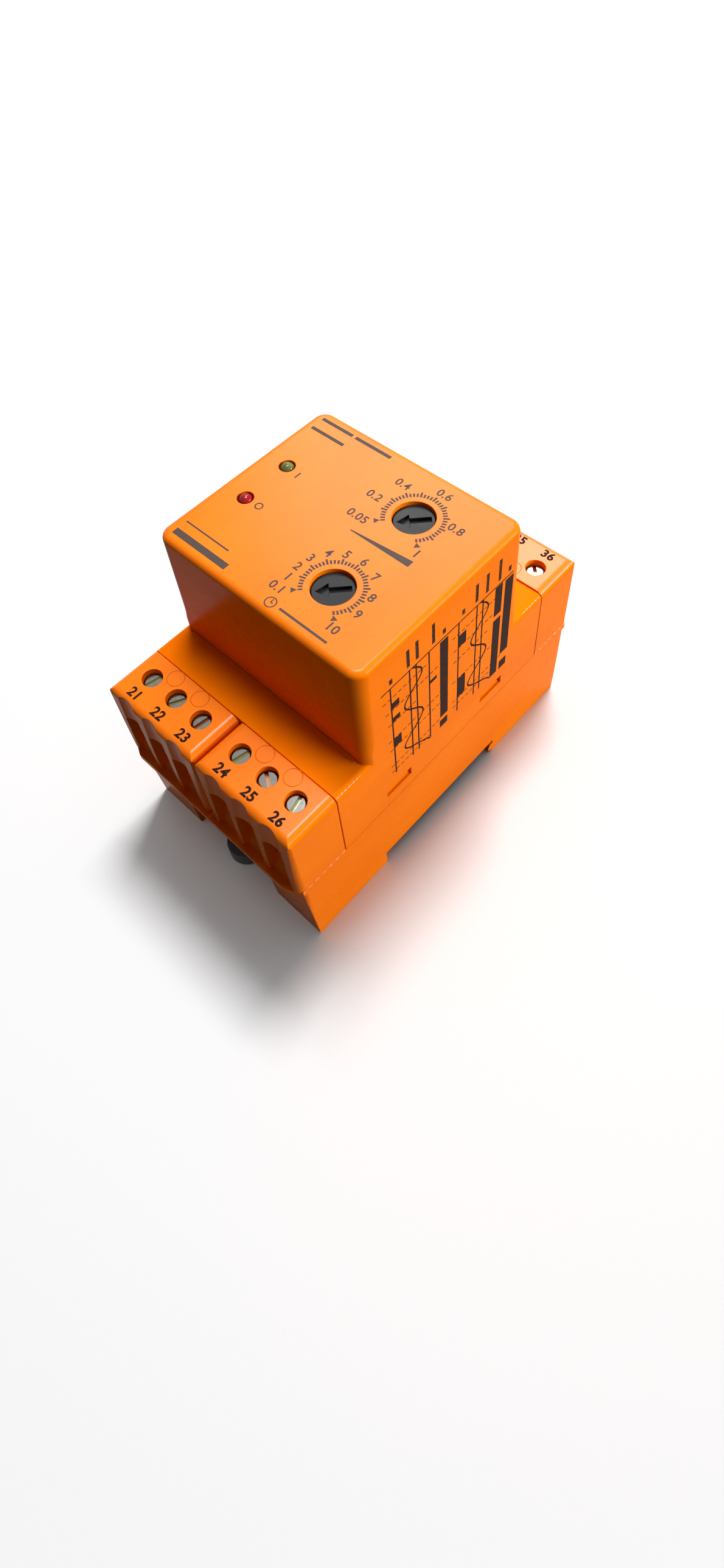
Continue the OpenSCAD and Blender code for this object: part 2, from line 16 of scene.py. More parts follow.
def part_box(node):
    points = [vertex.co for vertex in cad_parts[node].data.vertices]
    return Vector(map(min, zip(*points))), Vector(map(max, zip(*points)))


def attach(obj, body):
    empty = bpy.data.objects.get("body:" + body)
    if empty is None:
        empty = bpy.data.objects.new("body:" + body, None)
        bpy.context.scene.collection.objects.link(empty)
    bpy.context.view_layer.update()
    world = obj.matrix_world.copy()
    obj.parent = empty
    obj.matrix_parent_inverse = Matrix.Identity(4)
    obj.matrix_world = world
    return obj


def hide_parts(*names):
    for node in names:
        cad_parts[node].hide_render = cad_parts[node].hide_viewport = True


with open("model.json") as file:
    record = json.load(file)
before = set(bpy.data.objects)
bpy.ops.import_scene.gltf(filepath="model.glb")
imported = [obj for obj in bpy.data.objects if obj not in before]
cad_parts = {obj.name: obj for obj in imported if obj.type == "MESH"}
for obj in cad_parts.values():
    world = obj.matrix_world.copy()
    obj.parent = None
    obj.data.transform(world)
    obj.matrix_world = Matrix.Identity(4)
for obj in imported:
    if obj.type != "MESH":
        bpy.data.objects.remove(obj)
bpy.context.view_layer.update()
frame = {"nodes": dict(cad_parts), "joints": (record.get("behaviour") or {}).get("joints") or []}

bl_info = {
    "name": "Protection Relay Looks",
    "version": (1, 0, 0),
    "blender": (4, 5, 0),
    "location": "View3D > Sidebar > Relay",
    "description": "Finishes, prints, moulding marks and stage of a rail-mounted relay",
    "category": "Object",
}

MM = 0.001
NODES = frame["nodes"]
JOINTS = {joint["name"]: joint for joint in frame["joints"]}
CORNERS = ("lower_right", "lower_left", "upper_left", "upper_right")
POLES = (1, 2, 3)
CASE_BODY = "housing"
INNER_SLOTS = {
    "main_board": "board",
    "front_board": "board",
    "output_relay": "relay_case",
    "supply_transformer": "potting",
    "smoothing_capacitor": "can",
    "control_chip": "potting",
    "board_header": "potting",
    "level_pot": "pot",
    "delay_pot": "pot",
}

# Face, tops of the covers, half the case's width and its seam, in millimetres
FACE_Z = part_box("front_shell")[1].z / MM
COVER_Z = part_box("lower_right_cover")[1].z / MM
HALF_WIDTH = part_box("base")[1].x / MM
SEAM_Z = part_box("lower_right_cover")[0].z / MM

# Front of the case, in millimetres: height of the shoulders, draft of the sides with the shoulders'
# share of it, and half the nose's length at its foot and at the face
LEDGE_Z = 46.5
SIDE_SLOPE = 0.008
LEDGE_LEAN = 0.8
NOSE_FOOT, NOSE_HALF = 23.1, 22.7

# Rounding of the nose, in millimetres: upright corners, edge of the face, how far above the shoulders
# it starts, and how far the block that cuts it clears the flat walls; then the angle of a sharp edge
NOSE_RADIUS, NOSE_EDGE, NOSE_STEP, NOSE_SLACK = 3.0, 1.4, 1.2, 0.03
SHARP_DEGREES = 24

# Print: its depth below the surface in millimetres, and how numbers are thickened and spaced
PRINT_SINK = 0.05
DIAL_BOLD, TERMINAL_BOLD, DIGIT_SPACING = 0.02, 0.034, 1.06

# Settings


class RelayFinish(bpy.types.PropertyGroup):
    """Colours and grain of the relay's mouldings and metal."""

    case_colour: FloatVectorProperty(
        name="Case", description="Colour of the case's plastic", subtype="COLOR",
        default=(0.97, 0.20, 0.0), min=0, max=1)
    case_shade: FloatVectorProperty(
        name="Case Shade", description="Colour of the case's darker flow marks", subtype="COLOR",
        default=(0.90, 0.165, 0.0), min=0, max=1)
    case_roughness: FloatProperty(
        name="Case Roughness", description="Roughness of the case's plastic", subtype="FACTOR",
        default=0.26, min=0, max=1)
    case_gloss: FloatProperty(
        name="Case Gloss", description="Strength of the case's reflections", subtype="FACTOR",
        default=0.012, min=0, max=1)
    case_polish: FloatProperty(
        name="Case Polish", description="Weight of the smooth skin on the faces that look upwards",
        subtype="FACTOR", default=0.36, min=0, max=1)
    grain_size: FloatProperty(
        name="Grain", description="Size of the case's fine mould grain", unit="LENGTH",
        default=0.16 * MM, min=0.05 * MM, max=1 * MM, precision=6)
    edge_round: FloatProperty(
        name="Edge", description="Radius that softens the mouldings' sharp edges", unit="LENGTH",
        default=0.28 * MM, min=0, max=0.5 * MM, precision=6)
    zinc_colour: FloatVectorProperty(
        name="Zinc", description="Colour of the plated screws", subtype="COLOR",
        default=(0.24, 0.235, 0.21), min=0, max=1)
    knob_colour: FloatVectorProperty(
        name="Knob", description="Colour of the setting knobs", subtype="COLOR",
        default=(0.016, 0.016, 0.017), min=0, max=1)
    green_colour: FloatVectorProperty(
        name="Green Lens", description="Colour of the unlit green lamp", subtype="COLOR",
        default=(0.17, 0.18, 0.045), min=0, max=1)
    red_colour: FloatVectorProperty(
        name="Red Lens", description="Colour of the unlit red lamp", subtype="COLOR",
        default=(0.36, 0.002, 0.006), min=0, max=1)


class RelayPrint(bpy.types.PropertyGroup):
    """Sizes and colours of the printed marks."""

    ink_colour: FloatVectorProperty(
        name="Side Ink", description="Colour of the print on the side and covers", subtype="COLOR",
        default=(0.022, 0.010, 0.008), min=0, max=1)
    face_ink: FloatVectorProperty(
        name="Face Ink", description="Colour of the print on the face", subtype="COLOR",
        default=(0.050, 0.032, 0.024), min=0, max=1)
    ink_height: FloatProperty(
        name="Ink Height", description="How far print stands off its surface", unit="LENGTH",
        default=0.02 * MM, min=0.005 * MM, max=0.1 * MM, precision=6)
    tick_count: IntProperty(
        name="Ticks", description="Steps between the ends of a dial's scale", default=40, min=8, max=90)
    tick_start: FloatProperty(
        name="Tick Start", description="Distance from a dial's axis to its ticks", unit="LENGTH",
        default=5.35 * MM, min=4.5 * MM, max=7 * MM, precision=5)
    number_height: FloatProperty(
        name="Numbers", description="Height of the numbers round the dials", unit="LENGTH",
        default=1.95 * MM, min=0.8 * MM, max=3 * MM, precision=5)
    terminal_height: FloatProperty(
        name="Terminal Numbers", description="Height of the numbers at the terminals", unit="LENGTH",
        default=2.3 * MM, min=0.8 * MM, max=3 * MM, precision=5)


class RelayStage(bpy.types.PropertyGroup):
    """Floor and light of the stage."""

    floor_colour: FloatVectorProperty(
        name="Floor", description="Colour of the floor", subtype="COLOR",
        default=(0.82, 0.82, 0.82), min=0, max=1)
    floor_bounce: FloatVectorProperty(
        name="Floor Bounce", description="Colour of the floor for bounced light", subtype="COLOR",
        default=(0.11, 0.105, 0.10), min=0, max=1)
    top_power: FloatProperty(
        name="Top", description="Power of the high lamp behind the part", unit="POWER",
        default=7.0, min=0, max=50)
    side_power: FloatProperty(
        name="Side", description="Power of the low lamp on the right", unit="POWER",
        default=5.6, min=0, max=50)
    sheen_power: FloatProperty(
        name="Sheen", description="Power of the lamp that the face reflects", unit="POWER",
        default=2.5, min=0, max=50)
    floor_power: FloatProperty(
        name="Floor Light", description="Power of the lamp that lights the floor alone", unit="POWER",
        default=14.4, min=0, max=50)
    fill_power: FloatProperty(
        name="Floor Fill", description="Power of the wide lamp that softens the shadow on the floor",
        unit="POWER", default=5.0, min=0, max=50)
    sky_strength: FloatProperty(
        name="Sky", description="Strength of the even light from all round", default=0.05, min=0, max=2)


# Node graphs


class Graph:
    """Small builder for one material's or world's nodes."""

    def __init__(self, tree):
        self.tree = tree
        tree.nodes.clear()

    def add(self, kind, inputs=None, **settings):
        """New node: settings are its options, inputs its sockets' values or links."""
        node = self.tree.nodes.new("ShaderNode" + kind)
        for key, value in settings.items():
            setattr(node, key, value)
        for key, value in (inputs or {}).items():
            if isinstance(value, bpy.types.NodeSocket):
                self.tree.links.new(value, node.inputs[key])
            else:
                node.inputs[key].default_value = value
        return node

    def coords(self):
        """Object coordinates, in metres in the part's own frame."""
        return self.add("TexCoord").outputs["Object"]

    def height(self, vector):
        """Z of a place or a direction."""
        return self.add("SeparateXYZ", {"Vector": vector}).outputs["Z"]

    def noise(self, spot, size, detail=2.0, rough=0.5):
        """Noise whose features are about the given size, in metres."""
        sockets = {"Vector": spot, "Scale": 1 / size, "Detail": detail, "Roughness": rough}
        return self.add("TexNoise", sockets).outputs["Fac"]

    def span(self, value, low, high, start=0.0, end=1.0):
        """Value carried from low..high to start..end, and held beyond them."""
        sockets = {"Value": value, "From Min": low, "From Max": high, "To Min": start, "To Max": end}
        return self.add("MapRange", sockets).outputs["Result"]

    def math(self, operation, first, second=0.0):
        """One arithmetic step on two numbers."""
        return self.add("Math", {0: first, 1: second}, operation=operation).outputs["Value"]

    def mix(self, share, first, second):
        """Colour that goes from the first to the second."""
        colours = [c if isinstance(c, bpy.types.NodeSocket) else (*c, 1.0) for c in (first, second)]
        node = self.add("Mix", {0: share, 6: colours[0], 7: colours[1]}, data_type="RGBA")
        return node.outputs[2]

    def bump(self, height, depth, strength=1.0, normal=None):
        """Normal tilted by a height field of the given depth, in metres."""
        sockets = {"Height": height, "Distance": depth, "Strength": strength}
        if normal is not None:
            sockets["Normal"] = normal
        return self.add("Bump", sockets).outputs["Normal"]

    def finish(self, **sockets):
        """Principled surface as the material's output; names use _ for spaces."""
        named = {key.replace("_", " "): value for key, value in sockets.items()}
        shader = self.add("BsdfPrincipled", {
            key: (*value, 1.0) if isinstance(value, tuple) and len(value) == 3 else value
            for key, value in named.items()})
        self.add("OutputMaterial", {"Surface": shader.outputs["BSDF"]})


def new_material(name, shown):
    """Empty node material with its colour for solid view."""
    material = bpy.data.materials.new(name)
    material.use_nodes = True
    material.diffuse_color = (*shown, 1.0)
    return material, Graph(material.node_tree)


def moulded(name, colour, shade, rough, grain, edge, gloss=0.5, depth=6e-6, specks=True,
            polish=0.0, polish_from=0.0):
    """Moulded plastic: cloudy colour, fine mould grain, slight orange peel and soft edges.

    polish is the weight of a smoother skin on the faces that look upwards, from a height on.
    """
    material, g = new_material(name, colour)
    spot = g.coords()
    flow = g.add("Mapping", {"Vector": spot, "Scale": (1.0, 0.35, 1.0)}).outputs["Vector"]
    cloud = g.noise(flow, 14 * MM, 4.0, 0.55)
    tint = g.mix(g.span(cloud, 0.35, 0.72), colour, shade)
    if specks:
        speck = g.noise(spot, 0.9 * MM, 1.0)
        dark = tuple(0.35 * c for c in shade)
        tint = g.mix(g.span(speck, 0.795, 0.82, 0.0, 0.6), tint, dark)
    scuff = g.noise(spot, 3.2 * MM, 5.0, 0.65)
    roughness = g.span(scuff, 0.3, 0.75, rough - 0.05, rough + 0.09)
    soft = g.add("Bevel", {"Radius": edge}, samples=6).outputs["Normal"]
    peel = g.bump(g.noise(spot, 2.4 * MM, 1.0), 4 * depth, 0.25, soft)
    fine = g.bump(g.noise(spot, grain, 2.0), depth, 0.8, peel)
    skin = {}
    if polish:
        facing = g.height(g.add("NewGeometry").outputs["Normal"])
        high = g.math("GREATER_THAN", g.height(spot), polish_from)
        skin = {"Coat_Weight": g.math("MULTIPLY", high, g.span(facing, 0.45, 0.95, 0.0, polish)),
                "Coat_Roughness": rough, "Coat_Normal": fine}
    g.finish(Base_Color=tint, Roughness=roughness, Normal=fine, Specular_IOR_Level=gloss, IOR=1.5,
             **skin)
    return material


def plated(name, colour, tarnish, centre, top, floor_z):
    """Zinc plate on a turned head: fine rings round the screw's axis, a brassy slot and dull spots."""
    material, g = new_material(name, colour)
    spot = g.coords()
    shift = tuple(-c for c in centre)
    centred = g.add("Mapping", {"Vector": spot, "Location": shift}).outputs["Vector"]
    rings = g.add("TexWave", {"Vector": centred, "Scale": 1900.0, "Distortion": 1.6, "Detail": 2.0},
                  wave_type="RINGS", rings_direction="Z").outputs["Fac"]
    dull = g.noise(spot, 0.8 * MM, 4.0, 0.6)
    low = g.span(g.height(spot), floor_z, top - 0.1 * MM, 1.0, 0.0)
    plate = g.mix(g.span(dull, 0.42, 0.7, 0.0, 0.7), colour, tuple(0.55 * c for c in colour))
    tint = g.mix(low, plate, tarnish)
    roughness = g.span(dull, 0.3, 0.7, 0.11, 0.19)
    normal = g.bump(g.math("ADD", rings, dull), 1.2e-6, 0.5)
    g.finish(Base_Color=tint, Metallic=1.0, Roughness=roughness, Normal=normal)
    return material


def drawn_metal(name, colour, rough, grain_scale):
    """Stamped strip: metal with drawn grain and faint stains."""
    material, g = new_material(name, colour)
    spot = g.coords()
    drawn = g.add("Mapping", {"Vector": spot, "Scale": grain_scale}).outputs["Vector"]
    lines = g.noise(drawn, 1.0 * MM, 3.0)
    stain = g.noise(spot, 2.0 * MM, 3.0)
    tint = g.mix(g.span(stain, 0.4, 0.75, 0.0, 0.6), colour, tuple(0.6 * c for c in colour))
    normal = g.bump(lines, 4e-6, 0.6)
    g.finish(Base_Color=tint, Metallic=1.0, Roughness=g.span(lines, 0.3, 0.7, rough, rough + 0.18),
             Normal=normal)
    return material


def board_resist(name):
    """Green solder resist with copper tracks showing as raised paler lines."""
    base, track = (0.012, 0.085, 0.03), (0.03, 0.16, 0.05)
    material, g = new_material(name, base)
    spot = g.coords()
    lines = g.add("TexWave", {"Vector": spot, "Scale": 260.0, "Distortion": 5.0, "Detail": 0.0},
                  wave_type="BANDS", bands_direction="X").outputs["Fac"]
    tracks = g.span(lines, 0.62, 0.70)
    dust = g.noise(spot, 1.5 * MM, 3.0)
    g.finish(Base_Color=g.mix(tracks, base, track), Roughness=g.span(dust, 0.3, 0.7, 0.28, 0.45),
             Normal=g.bump(tracks, 2e-5, 0.6))
    return material


def tinted_lens(name, colour):
    """Unlit lamp: tinted clear epoxy over a cloudy core, with a glossy skin."""
    material, g = new_material(name, colour)
    spot = g.coords()
    cloud = g.noise(spot, 1.3 * MM, 3.0)
    tint = g.mix(g.span(cloud, 0.35, 0.7), colour, tuple(0.5 * c for c in colour))
    normal = g.bump(g.noise(spot, 0.6 * MM, 1.0), 4e-6, 0.4)
    g.finish(Base_Color=tint, Roughness=g.span(cloud, 0.3, 0.7, 0.05, 0.12), Normal=normal, IOR=1.52,
             Transmission_Weight=0.15, Specular_IOR_Level=0.1, Coat_Weight=0.12, Coat_Roughness=0.03)
    return material


def printed_ink(name, colour, worn, gloss=0.02):
    """Pad-printed ink: uneven, with pale worn pores."""
    material, g = new_material(name, colour)
    spot = g.coords()
    pores = g.noise(spot, 0.35 * MM, 4.0, 0.7)
    tint = g.mix(g.span(pores, 0.50, 0.74, 0.0, worn), colour, (0.34, 0.13, 0.05))
    g.finish(Base_Color=tint, Roughness=g.span(pores, 0.3, 0.7, 0.40, 0.6), Specular_IOR_Level=gloss,
             Normal=g.bump(pores, 6e-6, 0.6))
    return material


# Surfaces


def plain_object(name, points, faces):
    """Mesh object from points in millimetres, linked to the scene."""
    mesh = bpy.data.meshes.new(name)
    corners = [tuple(map(int, face)) for face in faces]
    mesh.from_pydata((np.asarray(points, float) * MM).tolist(), [], corners)
    mesh.update()
    thing = bpy.data.objects.new(name, mesh)
    bpy.context.scene.collection.objects.link(thing)
    return thing


def add_piece(name, points, faces, material, smooth=False):
    """New print or trim on the case, from points in millimetres."""
    piece = plain_object(name, points, faces)
    mesh = piece.data
    mesh.polygons.foreach_set("use_smooth", np.full(len(mesh.polygons), smooth))
    mesh.materials.append(material)
    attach(piece, CASE_BODY)


def gather(parts):
    """Several (points, faces) pairs as one."""
    starts = np.cumsum([0] + [len(points) for points, _ in parts])
    faces = [tuple(int(v) + int(start) for v in face)
             for (_, part_faces), start in zip(parts, starts) for face in part_faces]
    return np.vstack([points for points, _ in parts]), faces


def tube_faces(rings, sides, closed=False):
    """Quads between neighbouring rings of points, with a cap at each end of an open tube."""
    row, col = np.arange(rings if closed else rings - 1)[:, None], np.arange(sides)[None]
    after, beside = (row + 1) % rings * sides, (col + 1) % sides
    row = row * sides
    quads = np.stack([row + col, row + beside, after + beside, after + col], 2)
    faces = [tuple(quad) for quad in quads.reshape(-1, 4)]
    if not closed:
        last = sides * (rings - 1)
        faces += [tuple(range(sides - 1, -1, -1)), tuple(range(last, last + sides))]
    return faces


def strips(starts, ends, widths, lift):
    """Flat printed bars on the plane z = 0.

    Each is a box: start + i (end - start) + j width side, where i is 0 or 1, j is -1/2 or 1/2 and
    side is the bar's direction turned by a quarter turn. Its height goes from the sink to the lift.
    """
    starts, ends = np.atleast_2d(starts).astype(float), np.atleast_2d(ends).astype(float)
    run = ends - starts
    side = np.stack([-run[:, 1], run[:, 0]], 1) / np.linalg.norm(run, axis=1)[:, None]
    side *= np.broadcast_to(np.asarray(widths, float), len(run))[:, None]
    grid = np.meshgrid([0, 1], [-0.5, 0.5], [-PRINT_SINK, lift], indexing="ij")
    i, j, k = (a.ravel() for a in grid)
    flat = starts[:, None] + i[None, :, None] * run[:, None] + j[None, :, None] * side[:, None]
    height = np.broadcast_to(k[None, :, None], (*flat.shape[:2], 1))
    points = np.concatenate([flat, height], 2).reshape(-1, 3)
    sides = np.array([[0, 1, 3, 2], [4, 6, 7, 5], [0, 4, 5, 1],
                      [2, 3, 7, 6], [0, 2, 6, 4], [1, 5, 7, 3]])
    faces = (sides[None] + 8 * np.arange(len(run))[:, None, None]).reshape(-1, 4)
    return points, faces


def band(path, width, lift, closed=False):
    """Printed line along a flat path: a rectangle of the width, from sink to lift, carried along it."""
    path = np.asarray(path, float)
    if closed:
        slope = np.roll(path, -1, 0) - np.roll(path, 1, 0)
    else:
        slope = np.gradient(path, axis=0)
    side = np.stack([-slope[:, 1], slope[:, 0]], 1)
    side *= 0.5 * width / np.linalg.norm(side, axis=1)[:, None]
    corners = np.stack([path - side, path + side, path + side, path - side], 1)
    height = np.array([-PRINT_SINK, -PRINT_SINK, lift, lift])
    height = np.broadcast_to(height[None, :, None], (len(path), 4, 1))
    points = np.concatenate([corners, height], 2).reshape(-1, 3)
    return points, tube_faces(len(path), 4, closed)


def patch(outline, lift):
    """Printed field: a convex outline, counterclockwise, as a plate from the sink to the lift."""
    outline = np.asarray(outline, float)
    n = len(outline)
    levels = (-PRINT_SINK, lift)
    points = np.vstack([np.column_stack([outline, np.full(n, z)]) for z in levels])
    return points, tube_faces(len(levels), n)


def bead(centre, radius, tube, height, steps=96, sides=10):
    """Raised ring mark: an ellipse, (radius + tube cos o, height sin o), carried round a centre.

    The angle o runs backwards, so that the faces look outwards. The lower half lies under the surface.
    """
    around = np.linspace(0, 2 * math.pi, steps, endpoint=False)
    over = np.linspace(2 * math.pi, 0, sides, endpoint=False)
    a, o = np.meshgrid(around, over, indexing="ij")
    reach = radius + tube * np.cos(o)
    x, y = centre[0] + reach * np.cos(a), centre[1] + reach * np.sin(a)
    points = np.stack([x, y, height * np.sin(o)], 2).reshape(-1, 3)
    return points, tube_faces(steps, sides, closed=True)


def number(words, height, centre, lift, bold):
    """Number as a thin plate on the plane z = 0, centred on a point; its digits are that high."""
    curve = bpy.data.curves.new("number", "FONT")
    curve.body = words
    curve.align_x = "CENTER"
    curve.size = 1.0
    curve.extrude = 0.5
    curve.resolution_u = 4
    curve.offset = bold
    curve.space_character = DIGIT_SPACING
    holder = bpy.data.objects.new("number", curve)
    bpy.context.scene.collection.objects.link(holder)
    bpy.context.view_layer.update()
    solid = holder.evaluated_get(bpy.context.evaluated_depsgraph_get())
    mesh = bpy.data.meshes.new_from_object(solid)
    shape = bmesh.new()
    shape.from_mesh(mesh)
    bmesh.ops.remove_doubles(shape, verts=shape.verts, dist=1e-5)
    bmesh.ops.recalc_face_normals(shape, faces=shape.faces)
    shape.verts.index_update()
    points = np.array([tuple(v.co) for v in shape.verts])
    faces = [tuple(v.index for v in face.verts) for face in shape.faces]
    shape.free()
    bpy.data.objects.remove(holder)
    bpy.data.curves.remove(curve)
    bpy.data.meshes.remove(mesh)
    low, high = points.min(0), points.max(0)
    points = (points - (low + high) / 2) * (height / (high[1] - low[1]))
    points[:, 2] = np.where(points[:, 2] > 0, lift, -PRINT_SINK)
    points[:, :2] += centre
    return points, faces


def on_plane(part, z):
    """Moves marks drawn on z = 0 up to a level plane."""
    points, faces = part
    return points + [0, 0, z], faces


def side_x(z):
    """Right side of the case at a height: the nose's slope, and a little less on the shoulder."""
    lean = np.where(z < LEDGE_Z - 0.3, LEDGE_LEAN, 1.0)
    return HALF_WIDTH - SIDE_SLOPE * lean * (z - SEAM_Z)


def on_side(part):
    """Carries marks drawn in (y, z) with their lift in z onto the case's right side."""
    points, faces = part
    across, up, out = points.T
    return np.column_stack([side_x(up) + out, across, up]), faces


def lift_mm():
    """Print's height in millimetres."""
    return bpy.context.scene.relay_print.ink_height / MM


def paint(names, material):
    """Gives CAD nodes one material each."""
    for name in names:
        slots = NODES[name].data.materials
        slots.clear()
        slots.append(material)


def rounded_nose():
    """Block round the nose, whose plan is a rectangle with round corners at every height.

    Its half sizes shrink with the nose's draft, and over the upper edge they are drawn in by
    edge (1 - cos a) while the height grows by edge sin a. Each ring is sx (half x - r) + r cos t,
    sy (half y - r) + r sin t, where r grows over the lowest 5 mm from 0.6 of the radius to all of
    it. Below its start the block is a wide box, which leaves the shoulders alone.
    """
    start, shoulder = LEDGE_Z + NOSE_STEP, FACE_Z - NOSE_EDGE
    a = np.radians(np.linspace(0, 90, 13))
    walls = np.concatenate([[0.0, start, start], np.linspace(start + 1, shoulder, 8)])
    heights = np.concatenate([walls, shoulder + NOSE_EDGE * np.sin(a)])
    inset = np.concatenate([np.zeros(len(walls)), NOSE_EDGE * (1 - np.cos(a))])
    up = (heights - SEAM_Z) / (FACE_Z - SEAM_Z)
    half_x = HALF_WIDTH - SIDE_SLOPE * (heights - SEAM_Z) - inset + NOSE_SLACK
    half_y = NOSE_FOOT + (NOSE_HALF - NOSE_FOOT) * up - inset + NOSE_SLACK
    half_x[:2], half_y[:2] = 2 * HALF_WIDTH, 4 * HALF_WIDTH
    radius = np.interp(heights, [start, start + 5], [0.6 * NOSE_RADIUS, NOSE_RADIUS])
    r = np.clip(radius - inset, 0.3, None)[:, None]
    heights[-1] += NOSE_SLACK
    turn = np.radians(np.linspace(0, 90, 17))
    t = (turn[None] + np.radians([0, 90, 180, 270])[:, None]).ravel()
    signs = np.array([(1, 1), (-1, 1), (-1, -1), (1, -1)])
    sx, sy = np.repeat(signs, len(turn), axis=0).T
    x = sx * (half_x[:, None] - r) + r * np.cos(t)
    y = sy * (half_y[:, None] - r) + r * np.sin(t)
    points = np.stack([x, y, np.broadcast_to(heights[:, None], x.shape)], 2).reshape(-1, 3)
    return points, tube_faces(len(heights), len(t))


def merged_mesh(source):
    """Points in millimetres and faces of a mesh, with its doubled points joined."""
    points = np.empty(3 * len(source.vertices))
    source.vertices.foreach_get("co", points)
    spots = np.round(points.reshape(-1, 3) / MM, 5)
    spots, place = np.unique(spots, axis=0, return_inverse=True)
    place = place.ravel()
    faces = [[int(place[v]) for v in face.vertices] for face in source.polygons]
    return spots, [face for face in faces if len(set(face)) == len(face)]


# Operators


class RELAY_OT_case(bpy.types.Operator):
    """Finish of the base, the front and the four terminal covers"""

    bl_idname = "relay.case"
    bl_label = "Case Mouldings"

    def execute(self, context):
        s = context.scene.relay_finish
        colour, shade = tuple(s.case_colour), tuple(s.case_shade)
        case = moulded("case_orange", colour, shade, s.case_roughness, s.grain_size, s.edge_round,
                       s.case_gloss, polish=s.case_polish, polish_from=(LEDGE_Z + 1) * MM)
        covers = moulded("cover_orange", colour, shade, s.case_roughness - 0.03, s.grain_size,
                         s.edge_round, s.case_gloss, polish=s.case_polish)
        grainy = moulded("cover_grainy", colour, shade, s.case_roughness, 0.3 * MM, s.edge_round,
                         s.case_gloss, depth=1.2e-5, polish=1.0)
        paint(["base", "front_shell"], case)
        paint(["lower_right_cover", "lower_left_cover"], covers)
        paint(["upper_left_cover", "upper_right_cover"], grainy)
        return {"FINISHED"}


class RELAY_OT_front(bpy.types.Operator):
    """Front of the case with its nose's corners rounded, in place of the plain front"""

    bl_idname = "relay.front"
    bl_label = "Rounded Front"

    def execute(self, context):
        source = NODES["front_shell"].data
        shell = plain_object("plain_front", *merged_mesh(source))
        block = plain_object("nose_block", *rounded_nose())
        cut = shell.modifiers.new("round_corners", "BOOLEAN")
        cut.operation, cut.solver, cut.object = "INTERSECT", "EXACT", block
        context.view_layer.update()
        rounded = shell.evaluated_get(context.evaluated_depsgraph_get())
        mesh = bpy.data.meshes.new_from_object(rounded)
        if len(mesh.polygons) < len(source.polygons) / 2:
            raise RuntimeError("the nose's corners could not be rounded")
        for helper in (shell, block):
            old = helper.data
            bpy.data.objects.remove(helper)
            bpy.data.meshes.remove(old)
        mesh.name = "rounded_front"
        mesh.polygons.foreach_set("use_smooth", np.full(len(mesh.polygons), True))
        mesh.set_sharp_from_angle(angle=math.radians(SHARP_DEGREES))
        mesh.materials.clear()
        mesh.materials.append(bpy.data.materials["case_orange"])
        front = bpy.data.objects.new("rounded_front", mesh)
        context.scene.collection.objects.link(front)
        flat = front.modifiers.new("flat_walls", "WEIGHTED_NORMAL")
        flat.keep_sharp, flat.weight = True, 50
        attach(front, CASE_BODY)
        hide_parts("front_shell")
        return {"FINISHED"}


class RELAY_OT_terminals(bpy.types.Operator):
    """Plated screws, clamp cages and contact bars"""

    bl_idname = "relay.terminals"
    bl_label = "Terminal Metal"

    def execute(self, context):
        zinc = tuple(context.scene.relay_finish.zinc_colour)
        cage = drawn_metal("cage_steel", (0.45, 0.45, 0.43), 0.3, (1.0, 0.1, 1.0))
        bar = drawn_metal("bar_brass", (0.66, 0.47, 0.2), 0.26, (1.0, 0.08, 1.0))
        brassy = [(0.48, 0.44, 0.24), (0.46, 0.23, 0.13), (0.58, 0.55, 0.36)]
        for index, corner in enumerate(CORNERS):
            for pole in POLES:
                screw = f"{corner}_screw_{pole}"
                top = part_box(screw)[1].z
                centre = JOINTS[screw + "_turn"]["pos_m"]
                slot_colour = brassy[(2 * index + pole - 1) % len(brassy)]
                paint([screw], plated(f"zinc_{corner}_{pole}", zinc, slot_colour, centre, top,
                                      top - 0.5 * MM))
                paint([f"{corner}_cage_{pole}"], cage)
                paint([f"{corner}_bar_{pole}"], bar)
        return {"FINISHED"}


class RELAY_OT_clips(bpy.types.Operator):
    """Black nylon of the two rail clips"""

    bl_idname = "relay.clips"
    bl_label = "Rail Clips"

    def execute(self, context):
        edge = context.scene.relay_finish.edge_round
        nylon = moulded("clip_nylon", (0.012, 0.012, 0.013), (0.022, 0.022, 0.024), 0.5, 0.25 * MM,
                        edge, depth=1.2e-5, specks=False)
        paint(["rail_clip_lower", "rail_clip_upper"], nylon)
        return {"FINISHED"}


class RELAY_OT_inside(bpy.types.Operator):
    """Boards and the parts on them"""

    bl_idname = "relay.inside"
    bl_label = "Inner Parts"

    def execute(self, context):
        edge = context.scene.relay_finish.edge_round
        looks = {
            "board": board_resist("board_resist"),
            "relay_case": moulded("relay_blue", (0.014, 0.022, 0.075), (0.010, 0.016, 0.055), 0.4,
                                  0.2 * MM, edge, specks=False),
            "potting": moulded("potting_black", (0.012, 0.012, 0.012), (0.02, 0.02, 0.019), 0.45,
                               0.3 * MM, edge, depth=1.5e-5, specks=False),
            "can": moulded("can_sleeve", (0.02, 0.03, 0.06), (0.016, 0.022, 0.045), 0.3, 0.4 * MM,
                           edge, specks=False),
            "pot": moulded("pot_body", (0.018, 0.018, 0.02), (0.013, 0.013, 0.015), 0.42, 0.2 * MM,
                           edge, specks=False),
        }
        for name, slot in INNER_SLOTS.items():
            paint([name], looks[slot])
        return {"FINISHED"}


